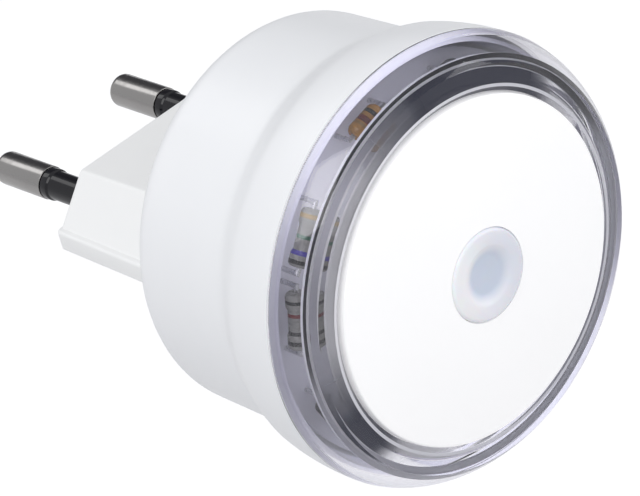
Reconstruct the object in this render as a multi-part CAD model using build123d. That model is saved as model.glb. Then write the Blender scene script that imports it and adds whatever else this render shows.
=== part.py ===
from build123d import *
from math import asin, atan2, cos, degrees, radians, sin
import os

# Plug-in LED night light with a twilight sensor, for a two-pin 4 mm socket.
# Millimetres. The origin is the centre of the plug's engagement face, which
# lies in the XZ plane. The pins point along +Y into the socket, the pair lies
# along X, the lamp's front faces -Y and +Z is up. A "depth" is a distance in
# front of the engagement face, so a point at a depth has y = -depth.

# Pins and their insulating sleeves
pin_spacing = 18.6
pin_diameter = 4.0
pin_length = 19.0
pin_metal_length = 8.4
pin_tip_rounding = 0.9
pin_neck_diameter = 2.6
pin_anchor_depth = 8.0
pin_collar_diameter = 4.6
pin_collar_length = 1.2
pin_tail_diameter = 2.0
pin_tail_length = 3.3
sleeve_diameter = 3.5
sleeve_embedded = 1.5
seat_clearance = 0.05

# Plug base: a hollow block of tapered hexagonal section with a rib at each end
base_width = 35.0
base_height = 12.8
base_top_width = 24.0
base_rib_height = 2.6
base_rib_proud = 0.8
base_rib_rounding = 0.5
base_draft = 0.6
base_wall = 1.6
base_floor = 2.5
base_corner_rounding = 0.8
pin_boss_diameter = 6.4
flange_boss_height = 2.2
flange_thickness = 2.0
flange_lip = 1.0
ear_reach = 3.6
ear_diameter = 5.6
passage_clearance = 0.15

# Housing: drum, flared collar and rear wall in one shell
drum_back_depth = 19.8
drum_back_radius = 22.65
drum_length = 25.7
drum_draft = 0.45
drum_edge_rounding = 2.5
inner_edge_rounding = 0.3
collar_length = 11.0
collar_bend_setback = 6.3
collar_bend_flare = 2.05
rim_flare = 2.6
rim_lip_length = 0.7
housing_wall = 1.8
rib_thickness = 1.2
rib_setback = 4.0

# Clear bezel ring: a snap spigot, a bulging wall, a groove and an inner slope
bezel_breadth = 5.85
bezel_wall = 2.7
bulge_radius = 8.1
bulge_setback = 1.35
spigot_thickness = 0.9
spigot_length = 2.0
spigot_clearance = 0.1
snap_height = 0.25
groove_inset = 2.75
groove_width = 0.55
groove_depth = 1.0
slope_rise = 0.1
lip_land = 0.9
crest_width = 0.35
lip_drop = 0.5
lip_thickness = 1.3

# Domed front diffuser, and the sensor's window and tube in its middle
diffuser_proud = 0.5
diffuser_dome = 1.65
diffuser_wall = 1.2
diffuser_clearance = 0.15
diffuser_flange = 1.5
diffuser_flange_thickness = 1.0
window_diameter = 10.6
window_thickness = 1.2
window_step = 0.7
window_rounding = 0.3
window_clearance = 0.12
light_pipe_diameter = 5.9
light_pipe_length = 3.6
tube_bore = 6.3
tube_wall = 1.1

# Circuit board and the screws
board_setback = 2.5
board_thickness = 1.6
board_clearance = 0.25
boss_diameter = 4.6
screw_diameter = 2.0
screw_length = 6.0
screw_head_diameter = 3.8
screw_head_height = 1.4
screw_hole_clearance = 0.2
screw_tip_gap = 0.2
pilot_clearance = 0.05
pilot_spare = 0.5
pilot_floor = 0.4

# Electronic parts
led_diameter = 5.0
led_height = 5.8
led_flange = 0.4
led_flange_height = 1.0
photocell_diameter = 5.1
photocell_height = 2.1
photocell_standoff = 1.2
photocell_pitch = 2.4
resistor_length = 6.3
resistor_diameter = 2.5
resistor_waist = 0.15
zener_length = 4.1
zener_diameter = 2.1
diode_length = 5.2
diode_diameter = 2.7
rear_diode_spacing = 10.0
rear_diode_drop = 5.0
electrolytic_diameter = 5.0
electrolytic_length = 11.0
electrolytic_pitch = 1.8
can_chamfer = 0.4
crimp_width = 0.6
crimp_depth = 0.3
crimp_inset = 1.6
film_width = 13.0
film_thickness = 6.0
film_clearance = 1.0
film_offset = 9.0
film_rounding = 0.5
ceramic_diameter = 4.5
ceramic_thickness = 2.2
ceramic_pitch = 2.4
ceramic_standoff = 0.3
transistor_diameter = 4.8
transistor_height = 4.6
transistor_flat = 1.4
transistor_pitch = 1.27
fuse_length = 7.0
fuse_diameter = 3.2
fuse_offset = 10.0
component_standoff = 1.0
lead_diameter = 0.6
lead_sides = 8
lead_reach = 0.7
lead_gap = 0.6
wire_diameter = 1.7
wire_pad_x = 12.0
wire_pad_z = -2.5
wire_bend = 6.0
solder_foot_diameter = 2.6
solder_top_diameter = 1.8
solder_height = 1.0

# Distances of the parts on the board in from its edge
screw_inset = 5.6
led_inset = 12.1
transistor_inset = 7.6
resistor_inset = 2.0
diode_inset = 2.3
ceramic_inset = 2.9
electrolytic_inset = 3.8

# Places round the board, in degrees from +X towards +Z
board_screw_angles = (90, 210, 330)
led_angles = (30, 150, 270)
series_resistor_angle = 142
first_diode_angle = 202
zener_angle = 104
electrolytic_angle = 55.5
transistor_angle = 300

# Worked-out depths
rear_wall_inside = drum_back_depth + housing_wall
flange_depth = rear_wall_inside + flange_boss_height
flange_front_depth = flange_depth + flange_thickness
rim_depth = drum_back_depth + drum_length
collar_start_depth = rim_depth - collar_length
collar_bend_depth = rim_depth - collar_bend_setback
board_front_depth = rim_depth - board_setback
board_back_depth = board_front_depth - board_thickness
spigot_end_depth = rim_depth - spigot_length
snap_depth = rim_depth - spigot_length / 2
bulge_depth = rim_depth - bulge_setback

# Worked-out radii
drum_front_radius = drum_back_radius + drum_draft
collar_bend_radius = drum_front_radius + collar_bend_flare
rim_radius = drum_front_radius + rim_flare
spigot_radius = rim_radius - housing_wall - spigot_clearance
bezel_inner_radius = spigot_radius - spigot_thickness
bulge_centre = rim_radius - (bulge_radius**2 - bulge_setback**2) ** 0.5
groove_radius = rim_radius - groove_inset
lip_radius = rim_radius - bezel_breadth
crest_radius = lip_radius + lip_land
diffuser_radius = lip_radius - diffuser_clearance
board_radius = collar_bend_radius - housing_wall - board_clearance
board_screw_circle = board_radius - screw_inset
ear_offset = base_height / 2 + ear_reach

# Depths of the bezel's front and of what it frames
groove_brim_depth = bulge_depth + (bulge_radius**2 - (groove_radius - bulge_centre) ** 2) ** 0.5
slope_front_depth = groove_brim_depth + slope_rise
lip_back_depth = slope_front_depth - lip_thickness
diffuser_edge_depth = slope_front_depth + diffuser_proud
diffuser_skirt_depth = lip_back_depth - diffuser_flange_thickness
window_front_depth = diffuser_edge_depth + diffuser_dome
window_back_depth = window_front_depth - window_thickness
window_hole_radius = window_diameter / 2 + window_clearance

sides = (-1, 1)
hanging = (Align.CENTER, Align.CENTER, Align.MAX)
standing = (Align.CENTER, Align.CENTER, Align.MIN)

os.makedirs("parts", exist_ok=True)


def at(depth):
    """Plane across the lamp at a depth; its normal points to the front."""
    return Plane.XZ.offset(depth)


def stamp(sketch, x, z, from_depth, to_depth):
    """Extrude a sketch that stands at (x, z) from one depth to another."""
    return extrude(at(from_depth) * Pos(x, z) * sketch, to_depth - from_depth)


def disc(radius, from_depth, to_depth):
    return stamp(Circle(radius), 0, 0, from_depth, to_depth)


def polar(radius, angle):
    return radius * cos(radians(angle)), radius * sin(radians(angle))


def upright(x, z, depth):
    """Turn a part drawn along +Z to stand along -Y, with its foot at a depth."""
    return Pos(x, -depth, z) * Rot(90, 0, 0)


def around(angle):
    """Carry something drawn at +X round the lamp's axis to an angle."""
    return Rot(0, -angle, 0)


def outline(*points, close=False):
    """Straight outline through (radius, depth) points."""
    return Polyline([(radius, -depth) for radius, depth in points], close=close)


def turned(*edges):
    """Revolve a closed outline about the lamp's axis."""
    return revolve(make_face(edges), Axis.Y)


def group(shapes):
    """Separate solids of one kind, kept together."""
    return Compound(children=[shape.solid() for shape in shapes])


def screw(x, z, seat_depth, length):
    """Pan-head screw that enters from the front, with its head on the seat."""
    top_depth = seat_depth + screw_head_height
    shank = stamp(Circle(screw_diameter / 2), x, z, seat_depth - length, seat_depth)
    head = stamp(Circle(screw_head_diameter / 2), x, z, seat_depth, top_depth)
    head = chamfer(head.edges().group_by(Axis.Y)[0], screw_head_height * 0.4)
    slot_length = screw_head_diameter * 0.55
    slot_width = slot_length / 4
    cross = Rectangle(slot_length, slot_width) + Rectangle(slot_width, slot_length)
    return shank + head - stamp(cross, x, z, top_depth - screw_head_height / 2, top_depth)


# ---------------------------------------------------------------- plug


def base_grow(depth):
    """How far the base's outline has grown by draft at a depth."""
    return base_draft * depth / drum_back_depth


def base_section(grow, ribs):
    """Hexagon with blunt ends, and a rib along each end where ribs is set."""
    half_width = base_width / 2 + grow
    half_height = base_height / 2 + grow
    corner = (base_top_width + grow) / 2
    shoulder = half_width - base_rib_proud
    rib = base_rib_height / 2
    right_side = [(corner, half_height), (shoulder, rib), (shoulder, -rib), (corner, -half_height)]
    left_side = [(-x, z) for x, z in reversed(right_side)]
    face = make_face(Polyline(right_side + left_side, close=True))
    face = fillet(face.vertices(), base_corner_rounding)
    if ribs:
        bar = Rectangle(2 * half_width, base_rib_height)
        face += fillet(bar.vertices(), base_rib_rounding)
    return face


def tapered(inset, from_depth, to_depth, ribs=True):
    """The base's drafted block between two depths, at an inset."""
    depths = (from_depth, to_depth)
    return loft([at(depth) * base_section(base_grow(depth) - inset, ribs) for depth in depths])


def base_flange():
    """Plate inside the drum, with an ear for a screw above and below the block."""
    plate = base_section(base_grow(flange_depth) + flange_lip, ribs=False)
    plate += Rectangle(ear_diameter, 2 * ear_offset)
    for side in sides:
        plate += Pos(0, side * ear_offset) * Circle(ear_diameter / 2)
        plate -= Pos(0, side * ear_offset) * screw_hole()
    for angle in board_screw_angles:
        boss_room = Circle(boss_diameter / 2 + passage_clearance)
        plate -= Pos(*polar(board_screw_circle, angle)) * boss_room
    plate &= Circle(drum_back_radius - housing_wall - passage_clearance)
    return stamp(plate, 0, 0, flange_depth, flange_front_depth)


def screw_hole():
    return Circle((screw_diameter + screw_hole_clearance) / 2)


def plug_base():
    """Hollow drafted block with a floor, a flange and a boss behind each pin."""
    body = tapered(0, 0, flange_front_depth) + base_flange()
    body -= tapered(base_wall, base_floor, flange_front_depth, ribs=False)
    for side in sides:
        x = side * pin_spacing / 2
        body += stamp(Circle(pin_boss_diameter / 2), x, 0, base_floor, pin_anchor_depth)
        body -= stamp(Circle(sleeve_diameter / 2 + seat_clearance), x, 0, 0, sleeve_embedded)
        body -= stamp(Circle(pin_neck_diameter / 2 + seat_clearance), x, 0, 0, pin_anchor_depth)
    return body


def rod(diameter, length, top):
    """Cylinder along Z that hangs from a height."""
    return Pos(0, 0, top) * Cylinder(diameter / 2, length, align=hanging)


def pin():
    """One pin along Y: rounded metal end, thin neck, anchor collar, solder tail."""
    neck_end = -(pin_length + pin_anchor_depth)
    metal = rod(pin_diameter, pin_metal_length, 0)
    metal = fillet(metal.edges().group_by(Axis.Z)[-1], pin_tip_rounding)
    neck = rod(pin_neck_diameter, -pin_metal_length - neck_end, -pin_metal_length)
    collar = rod(pin_collar_diameter, pin_collar_length, neck_end)
    tail = rod(pin_tail_diameter, pin_tail_length, neck_end - pin_collar_length)
    return Pos(0, pin_length, 0) * Rot(-90, 0, 0) * (metal + neck + collar + tail)


def pin_sleeve():
    """Black insulation on the neck, from the metal's shoulder into the base."""
    ring = Circle(sleeve_diameter / 2) - Circle(pin_neck_diameter / 2 + seat_clearance)
    return stamp(ring, 0, 0, pin_metal_length - pin_length, sleeve_embedded)


# ---------------------------------------------------------------- housing


def drum_solid(inset, back):
    """The drum and collar filled in, from a rear depth, at an inset."""
    rounding = max(drum_edge_rounding - inset, inner_edge_rounding)
    back_radius = drum_back_radius - inset
    front_radius = drum_front_radius - inset
    bend_radius = collar_bend_radius - inset
    rim = rim_radius - inset
    side_start = back + rounding
    flare_end = rim_depth - rim_lip_length
    face = Line((0, -back), (back_radius - rounding, -back))
    edge = TangentArc([(back_radius - rounding, -back), (back_radius, -side_start)], tangent=(1, 0))
    side = Line((back_radius, -side_start), (front_radius, -collar_start_depth))
    flare = Spline(
        [(front_radius, -collar_start_depth), (bend_radius, -collar_bend_depth), (rim, -flare_end)],
        tangents=[(front_radius - back_radius, side_start - collar_start_depth), (0, -1)],
    )
    rest = outline((rim, flare_end), (rim, rim_depth), (0, rim_depth), (0, back))
    return turned(face, edge, side, flare, rest)


def snap_points(tip_radius):
    """(radius, depth) points of the ridge that locks the bezel in the collar."""
    foot = 2 * snap_height
    tip = (tip_radius, snap_depth)
    return [(spigot_radius, snap_depth - foot), tip, (spigot_radius, snap_depth + foot)]


def housing():
    """Moulded shell: rear wall, drum and collar, with bosses and ribs inside."""
    shell = drum_solid(0, drum_back_depth) - drum_solid(housing_wall, rear_wall_inside)
    seat_radius = rim_radius - housing_wall
    shell -= disc(seat_radius, spigot_end_depth - spigot_clearance, rim_depth)
    shell -= turned(outline(*snap_points(seat_radius + snap_height), close=True))
    boss = Circle(boss_diameter / 2)
    pilot = Circle(screw_diameter / 2 + pilot_clearance)
    pilot_end = board_front_depth - screw_length - pilot_spare
    rib_reach = drum_back_radius - housing_wall / 2 - board_screw_circle
    rib = Pos(board_screw_circle + rib_reach / 2, 0) * Rectangle(rib_reach, rib_thickness)
    for angle in board_screw_angles:
        x, z = polar(board_screw_circle, angle)
        shell += stamp(boss, x, z, rear_wall_inside, board_back_depth)
        shell += stamp(Rot(0, 0, angle) * rib, 0, 0, rear_wall_inside, board_back_depth - rib_setback)
        shell -= stamp(pilot, x, z, pilot_end, board_back_depth)
    for side in sides:
        z = side * ear_offset
        shell += stamp(boss, 0, z, rear_wall_inside, flange_depth)
        shell -= stamp(pilot, 0, z, drum_back_depth + pilot_floor, flange_depth)
    return shell - tapered(-passage_clearance, drum_back_depth - housing_wall, flange_depth)


# ---------------------------------------------------------------- front


def on_bulge(angle):
    """Point of the bezel's round outer wall, at an angle in radians."""
    return bulge_centre + bulge_radius * cos(angle), -(bulge_depth + bulge_radius * sin(angle))


def clear_bezel():
    """Ring with a snap spigot, a bulging wall, a groove and an inner slope."""
    rim_angle = asin(bulge_setback / bulge_radius)
    brim_angle = atan2(groove_brim_depth - bulge_depth, groove_radius - bulge_centre)
    groove_floor_depth = groove_brim_depth - groove_depth
    outside = outline(
        (bezel_inner_radius, spigot_end_depth),
        (spigot_radius, spigot_end_depth),
        *snap_points(spigot_radius + snap_height),
        (spigot_radius, rim_depth),
        (rim_radius, rim_depth),
    )
    middle_angle = (rim_angle + brim_angle) / 2
    bulge = ThreePointArc(on_bulge(rim_angle), on_bulge(middle_angle), on_bulge(brim_angle))
    inside = outline(
        (groove_radius, groove_brim_depth),
        (groove_radius - groove_width / 4, groove_floor_depth),
        (groove_radius - groove_width * 3 / 4, groove_floor_depth),
        (groove_radius - groove_width, groove_brim_depth),
        (crest_radius, slope_front_depth),
        (crest_radius - crest_width, slope_front_depth),
        (lip_radius, slope_front_depth - lip_drop),
        (lip_radius, lip_back_depth),
        (lip_radius + diffuser_flange, lip_back_depth),
        (bezel_inner_radius, rim_depth + bezel_wall),
        (bezel_inner_radius, spigot_end_depth),
    )
    return turned(outside, bulge, inside)


def dome(radius, edge_depth, rise):
    """A shallow spherical cap, flat at its edge's depth."""
    sphere_radius = (radius**2 + rise**2) / (2 * rise)
    ball = Pos(0, sphere_radius - edge_depth - rise, 0) * Sphere(sphere_radius)
    return ball & disc(radius, edge_depth, edge_depth + 2 * rise)


def front_diffuser():
    """Domed cap with a skirt, held by its flange behind the bezel's lip."""
    inner_radius = diffuser_radius - diffuser_wall
    inner_edge_depth = diffuser_edge_depth - diffuser_wall
    flange_radius = lip_radius + diffuser_flange - diffuser_clearance
    cap = dome(diffuser_radius, diffuser_edge_depth, diffuser_dome)
    cap += disc(diffuser_radius, diffuser_skirt_depth, diffuser_edge_depth)
    cap += disc(flange_radius, diffuser_skirt_depth, lip_back_depth)
    cap -= dome(inner_radius, inner_edge_depth, diffuser_dome)
    cap -= disc(inner_radius, diffuser_skirt_depth, inner_edge_depth)
    return cap - disc(window_hole_radius, diffuser_skirt_depth, window_front_depth)


def sensor_window():
    """Translucent cap with a round recess, over a light pipe to the photocell."""
    cap_back_depth = window_back_depth - window_step
    cap = disc(window_diameter / 2, cap_back_depth, window_front_depth)
    cap = fillet(cap.edges().group_by(Axis.Y)[0], window_rounding)
    cap -= disc(light_pipe_diameter / 2, window_front_depth - window_step, window_front_depth)
    return cap + disc(light_pipe_diameter / 2, window_back_depth - light_pipe_length, window_back_depth)


def sensor_tube():
    """Dark chamber between the board and the window, round the light pipe."""
    wall = Circle(tube_bore / 2 + tube_wall) - Circle(tube_bore / 2)
    return stamp(wall, 0, 0, board_front_depth, window_back_depth - window_step)


# ---------------------------------------------------------------- electronics


def beside(angle, inset, length, next_length, bent_ends=2, way=1):
    """Angle of the next part along the board's edge, clear of the last one's leads."""
    arc = (length + next_length) / 2 + bent_ends * (lead_reach + lead_diameter / 2) + lead_gap
    return angle + way * degrees(arc / (board_radius - inset))


front_diode_angles = (
    first_diode_angle,
    beside(first_diode_angle, diode_inset, diode_length, diode_length),
)
ceramic_angle = beside(
    front_diode_angles[-1], diode_inset, diode_length, ceramic_diameter, bent_ends=1
)
resistor_angles = {
    "series_resistor": series_resistor_angle,
    "timing_resistor": beside(
        series_resistor_angle, resistor_inset, resistor_length, resistor_length
    ),
    "bias_resistor": beside(
        electrolytic_angle, electrolytic_inset, electrolytic_length, resistor_length, bent_ends=1, way=-1
    ),
}


def front_depth(diameter):
    """Depth of the axis of a round body that lies in front of the board."""
    return board_front_depth + component_standoff + diameter / 2


def rear_depth(diameter):
    """Depth of the axis of a round body that lies behind the board."""
    return board_back_depth - component_standoff - diameter / 2


def can_depth():
    """Depth of the electrolytic can's axis."""
    return board_front_depth + seat_clearance + electrolytic_diameter / 2


def round_the_edge(body, angle, inset, depth):
    """Lay a body drawn along Z along the board's edge."""
    return around(angle) * Pos(board_radius - inset, -depth, 0) * body


def circuit_board():
    board = disc(board_radius, board_back_depth, board_front_depth)
    for angle in board_screw_angles:
        x, z = polar(board_screw_circle, angle)
        board -= stamp(screw_hole(), x, z, board_back_depth, board_front_depth)
    return board


def led():
    """Round LED along +Z, from its flange with one flat up to its domed lens."""
    radius = led_diameter / 2
    flange = Cylinder(radius + led_flange, led_flange_height, align=standing)
    flange -= Pos(radius + led_flange, 0) * Box(
        2 * led_flange, led_diameter, led_flange_height, align=standing
    )
    barrel = Cylinder(radius, led_height - radius, align=standing)
    return flange + barrel + Pos(0, 0, led_height - radius) * Sphere(radius)


def leds():
    places = [polar(board_radius - led_inset, angle) for angle in led_angles]
    return group([upright(x, z, board_front_depth) * led() for x, z in places])


def photocell():
    """Flat light-dependent resistor on the board, under the light pipe."""
    foot_depth = board_front_depth + photocell_standoff
    return disc(photocell_diameter / 2, foot_depth, foot_depth + photocell_height)


def axial_body(length, diameter, waist=0.0):
    """Round component body along Z, with bevelled ends and perhaps a waist."""
    radius = diameter / 2
    end = length / 2
    bevel = radius * 0.35
    half = [(radius - bevel, end), (radius, end - bevel)]
    if waist:
        half += [(radius, end / 2), (radius - waist, end / 2 - waist)]
    other_half = [(r, -z) for r, z in reversed(half)]
    profile = Polyline([(0, end)] + half + other_half + [(0, -end)], close=True)
    return revolve(Plane.XZ * make_face(profile), Axis.Z)


def resistor(angle):
    body = axial_body(resistor_length, resistor_diameter, resistor_waist)
    return round_the_edge(body, angle, resistor_inset, front_depth(resistor_diameter))


def zener_diode():
    body = axial_body(zener_length, zener_diameter)
    return round_the_edge(body, zener_angle, resistor_inset, front_depth(zener_diameter))


def rectifier_diodes():
    """Four diodes: two along the board's front edge and two on its back."""
    body = axial_body(diode_length, diode_diameter)
    depth = front_depth(diode_diameter)
    diodes = [round_the_edge(body, angle, diode_inset, depth) for angle in front_diode_angles]
    for side in sides:
        x = side * rear_diode_spacing / 2
        diodes.append(Pos(x, -rear_depth(diode_diameter), -rear_diode_drop) * body)
    return group(diodes)


def electrolytic_capacitor():
    """Sleeved can that lies along the board's edge, with a crimp near its leads."""
    radius = electrolytic_diameter / 2
    can = Cylinder(radius, electrolytic_length)
    can = chamfer(can.edges().filter_by(GeomType.CIRCLE), can_chamfer)
    crimp = Cylinder(2 * radius, crimp_width) - Cylinder(radius - crimp_depth, crimp_width)
    can -= Pos(0, 0, electrolytic_length / 2 - crimp_inset) * crimp
    return round_the_edge(can, electrolytic_angle, electrolytic_inset, can_depth())


def film_capacitor():
    """Boxed mains capacitor behind the board, in front of the base's screws."""
    top_depth = flange_front_depth + screw_head_height + film_clearance
    case = stamp(Rectangle(film_width, film_thickness), 0, film_offset, top_depth, board_back_depth)
    top_edges = case.edges().group_by(Axis.Y)[-1]
    return fillet(case.edges().filter_by(Axis.Y) + top_edges, film_rounding)


def ceramic_capacitor():
    """Dipped disc that stands on edge by the board's rim."""
    pill = Cylinder(ceramic_diameter / 2, ceramic_thickness)
    pill = chamfer(pill.edges().filter_by(GeomType.CIRCLE), ceramic_thickness * 0.35)
    depth = board_front_depth + ceramic_standoff + ceramic_diameter / 2
    return round_the_edge(Rot(0, 90, 0) * pill, ceramic_angle, ceramic_inset, depth)


def ceramic_foot():
    """Depth of the dipped disc's lower edge where its leads meet it."""
    radius = ceramic_diameter / 2
    near_side = ceramic_pitch / 2 - lead_diameter / 2
    return board_front_depth + ceramic_standoff + radius - (radius**2 - near_side**2) ** 0.5


def transistor():
    """Half-round moulded body, which stands on three legs."""
    radius = transistor_diameter / 2
    flat = Pos(transistor_flat + radius / 2, 0) * Rectangle(radius, transistor_diameter)
    body = extrude(Circle(radius) - flat, transistor_height)
    foot_depth = board_front_depth + component_standoff
    return around(transistor_angle) * upright(board_radius - transistor_inset, 0, foot_depth) * body


def fuse():
    """Fusible link on the board's back, across the way in from the pins."""
    body = Rot(0, 90, 0) * axial_body(fuse_length, fuse_diameter)
    return Pos(0, -rear_depth(fuse_diameter), -fuse_offset) * body


def lead_section():
    """Section of the thin tinned wire, with eight sides for its circle."""
    return RegularPolygon(lead_diameter / 2, lead_sides)


def bent_lead(start, body_depth, seat_depth, x):
    """Lead that leaves a body's end along Z at a start and turns to the board."""
    turn = start + (lead_reach if start > 0 else -lead_reach)
    path = Polyline((x, -body_depth, start), (x, -body_depth, turn), (x, -seat_depth, turn))
    section = Plane(origin=path @ 0, z_dir=path % 0) * lead_section()
    return sweep(section, path=path, transition=Transition.RIGHT)


def edge_leads(angle, inset, length, diameter):
    """The two leads of a body that lies along the board's edge."""
    ends = [side * length / 2 for side in sides]
    circle = board_radius - inset
    depth = front_depth(diameter)
    return [around(angle) * bent_lead(end, depth, board_front_depth, circle) for end in ends]


def rear_leads(length, diameter):
    """The two leads of a body that lies along Z behind the board."""
    ends = [side * length / 2 for side in sides]
    return [bent_lead(end, rear_depth(diameter), board_back_depth, 0) for end in ends]


def standing_leads(circle, angle, offsets, top_depth):
    """Straight leads side by side, across the radius at an angle."""
    x, z = polar(circle, angle)
    steps = [polar(offset, angle + 90) for offset in offsets]
    return [stamp(lead_section(), x + dx, z + dz, board_front_depth, top_depth) for dx, dz in steps]


def component_leads():
    """Every tinned wire between a component's body and the board."""
    wires = []
    for angle in resistor_angles.values():
        wires += edge_leads(angle, resistor_inset, resistor_length, resistor_diameter)
    wires += edge_leads(zener_angle, resistor_inset, zener_length, zener_diameter)
    for angle in front_diode_angles:
        wires += edge_leads(angle, diode_inset, diode_length, diode_diameter)
    for side in sides:
        circle = board_radius - electrolytic_inset + side * electrolytic_pitch / 2
        wire = bent_lead(electrolytic_length / 2, can_depth(), board_front_depth, circle)
        wires.append(around(electrolytic_angle) * wire)
        spot = Pos(side * rear_diode_spacing / 2, 0, -rear_diode_drop)
        wires += [spot * wire for wire in rear_leads(diode_length, diode_diameter)]
    turn = Pos(0, 0, -fuse_offset) * Rot(0, 90, 0)
    wires += [turn * wire for wire in rear_leads(fuse_length, fuse_diameter)]
    ceramic_offsets = [side * ceramic_pitch / 2 for side in sides]
    wires += standing_leads(board_radius - ceramic_inset, ceramic_angle, ceramic_offsets, ceramic_foot())
    cell_offsets = [side * photocell_pitch / 2 for side in sides]
    wires += standing_leads(0, 0, cell_offsets, board_front_depth + photocell_standoff)
    legs = (-transistor_pitch, 0, transistor_pitch)
    legs_top = board_front_depth + component_standoff
    wires += standing_leads(board_radius - transistor_inset, transistor_angle, legs, legs_top)
    return group(wires)


def mains_wire(side):
    """Insulated wire from a pin's solder tail to its pad on the board's back."""
    start_depth = pin_anchor_depth + pin_collar_length + pin_tail_length
    end_depth = board_back_depth - solder_height
    straight = (end_depth - start_depth) * 0.3
    pin_x = side * pin_spacing / 2
    pad_x = side * wire_pad_x
    path = FilletPolyline(
        (pin_x, -start_depth, 0),
        (pin_x, -(start_depth + straight), 0),
        (pad_x, -(end_depth - straight), wire_pad_z),
        (pad_x, -end_depth, wire_pad_z),
        radius=wire_bend,
    )
    section = Plane(origin=path @ 0, z_dir=path % 0) * Circle(wire_diameter / 2)
    return sweep(section, path=path)


def solder_joints():
    """Solder cones where the two mains wires meet the board's back."""
    cone = Cone(solder_top_diameter / 2, solder_foot_diameter / 2, solder_height, align=standing)
    top_depth = board_back_depth - solder_height
    return group([upright(side * wire_pad_x, wire_pad_z, top_depth) * cone for side in sides])


def base_screws():
    """Short screws through the flange's ears, which stop inside the rear wall."""
    length = flange_front_depth - drum_back_depth - pilot_floor - screw_tip_gap
    return group([screw(0, side * ear_offset, flange_front_depth, length) for side in sides])


def board_screws():
    places = [polar(board_screw_circle, angle) for angle in board_screw_angles]
    return group([screw(x, z, board_front_depth, screw_length) for x, z in places])


# ---------------------------------------------------------------- export

nodes = {
    "housing": housing(),
    "plug_base": plug_base(),
    "clear_bezel": clear_bezel(),
    "front_diffuser": front_diffuser(),
    "sensor_window": sensor_window(),
    "sensor_tube": sensor_tube(),
    "photocell": photocell(),
    "circuit_board": circuit_board(),
    "leds": leds(),
    "zener_diode": zener_diode(),
    "rectifier_diodes": rectifier_diodes(),
    "electrolytic_capacitor": electrolytic_capacitor(),
    "film_capacitor": film_capacitor(),
    "ceramic_capacitor": ceramic_capacitor(),
    "transistor": transistor(),
    "fuse": fuse(),
    "component_leads": component_leads(),
    "solder_joints": solder_joints(),
    "base_screws": base_screws(),
    "board_screws": board_screws(),
}

for name, angle in resistor_angles.items():
    nodes[name] = resistor(angle)

for side_name, side in (("left", -1), ("right", 1)):
    pin_place = Pos(side * pin_spacing / 2, 0, 0)
    nodes["pin_" + side_name] = pin_place * pin()
    nodes["pin_sleeve_" + side_name] = pin_place * pin_sleeve()
    nodes["mains_wire_" + side_name] = mains_wire(side)

for name, shape in nodes.items():
    export_step(shape, f"parts/{name}.step")
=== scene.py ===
from math import acos, asin, atan2, cos, hypot, pi, radians, sin, sqrt

import bmesh
import bpy
from mathutils import Matrix, Vector


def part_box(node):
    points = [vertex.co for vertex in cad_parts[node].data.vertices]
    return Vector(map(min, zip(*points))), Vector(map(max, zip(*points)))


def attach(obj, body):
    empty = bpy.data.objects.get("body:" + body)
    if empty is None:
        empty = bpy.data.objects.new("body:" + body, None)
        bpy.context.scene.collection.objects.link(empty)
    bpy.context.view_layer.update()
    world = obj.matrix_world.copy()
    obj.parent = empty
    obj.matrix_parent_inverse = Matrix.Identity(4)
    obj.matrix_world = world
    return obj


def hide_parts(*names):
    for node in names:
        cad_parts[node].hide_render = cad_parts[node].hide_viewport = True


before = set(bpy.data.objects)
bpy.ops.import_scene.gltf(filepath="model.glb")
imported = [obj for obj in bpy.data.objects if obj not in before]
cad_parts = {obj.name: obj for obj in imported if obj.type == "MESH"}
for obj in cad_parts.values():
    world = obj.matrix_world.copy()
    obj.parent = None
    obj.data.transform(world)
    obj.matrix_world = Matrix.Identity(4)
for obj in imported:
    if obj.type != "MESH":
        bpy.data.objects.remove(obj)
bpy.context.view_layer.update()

# The plug-in night light's finished surfaces. Outlines are in millimetres, as
# (radius, depth) points round the lamp's axis, where a depth is the distance in
# front of the plug's engagement face. An outline's corners are (u, v, rounding),
# with the rounding's radius. Everything that is built is in metres.
MM = 0.001
SHARP_ANGLE = radians(32)
WELD_DISTANCE = 1e-7
TINY = 1e-6

# How finely curves are divided
ROUND_STEPS = 288
FINE_STEPS = 128
SMALL_STEPS = 64
CORNER_STEPS = 6
DRUM_EDGE_STEPS = 8
DRUM_SIDE_STEPS = 40
DRUM_INSIDE_STEPS = 30
BULGE_STEPS = 48
BORE_STEPS = 40
DOME_STEPS = 24
BASE_EDGE_STEPS = 6
CORNER_SHARE = 0.49  # the most of an edge that one rounded corner takes

# Camera, as fitted to the photograph's frame, in pixels, degrees and millimetres
IMAGE_WIDTH = 640
SENSOR_WIDTH = 36.0
FOCAL_PIXELS = 4500.0
VIEW_AZIMUTH = -36.09
VIEW_ELEVATION = 30.93
VIEW_ROLL = -15.58
VIEW_DISTANCE = 520.078
VIEW_SHIFT = (-17.51, 9.73)
CLIP_START = 0.01

# Floor and studio, in metres and watts. The floor's glow in the camera's view and
# in metal and glass adds to the light that falls on it.
FLOOR_DROP = 0.12
FLOOR_SIZE = 6.0
FLOOR_SQUARES = 8
FLOOR_LOW = (0.6, 0.6, 0.61)
FLOOR_HIGH = (0.65, 0.65, 0.66)
FLOOR_BLOTCH = 3.0
FLOOR_ROUGHNESS = 0.9
FLOOR_IN_VIEW = 0.47
FLOOR_IN_GLASS = 0.25
DARK_SIDE = (0.66, 0.72, 0.2)
DARK_FALL = (0.6, 0.93)
WORLD_PALE = (0.71, 0.715, 0.73)
WORLD_DARK = (0.1, 0.1, 0.11)
LAMP_AIM = Vector((0, -0.03, 0))
LAMPS = (  # name, place, size, power
    ("key", (-0.5, -0.3, 0.7), 0.6, 2.9),
    ("fill", (0.7, -0.6, 0.25), 0.6, 2.0),
    ("streak", (-0.05, 0.62, 0.6), 0.3, 0.4),
)


# ---------------------------------------------------------------- the frame


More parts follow.
